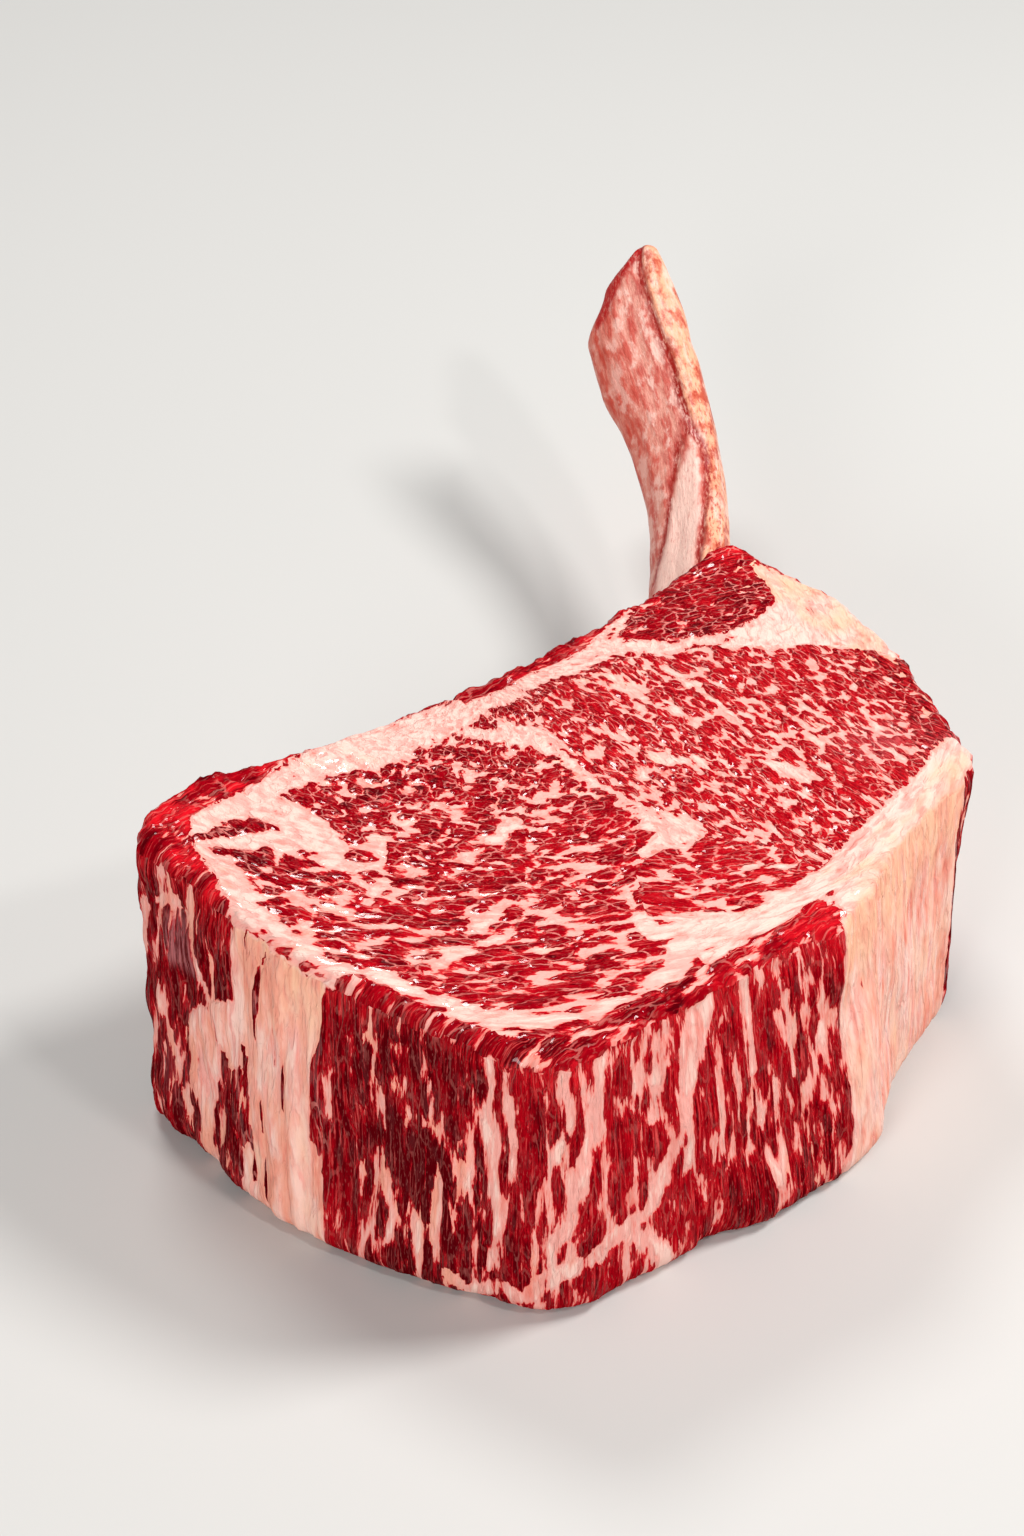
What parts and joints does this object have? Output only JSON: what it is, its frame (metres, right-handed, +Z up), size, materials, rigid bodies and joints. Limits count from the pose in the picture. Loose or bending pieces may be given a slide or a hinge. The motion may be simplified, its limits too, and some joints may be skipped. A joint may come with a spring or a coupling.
{
  "type": "raw bone-in ribeye steak",
  "caption": "Thick raw marbled ribeye steak with a curved scraped rib bone standing out of its bone side, lying on a cut face.",
  "frame": {"origin": "middle of the flat cut face that the steak rests on", "axes": "+X along the bone side towards the end where the rib leaves the meat, +Y towards the bone side, +Z up through the steak's thickness"},
  "size_m": [0.2909, 0.269, 0.0787],
  "materials": {
    "marbled_beef": "moist raw beef, red muscle with pale pink and cream fat marbling",
    "rib_bone": "scraped moist bone, pale pink with red streaks"
  },
  "bodies": {
    "root": {"meat": "marbled_beef", "rib_bone": "rib_bone"}
  },
  "joints": []
}
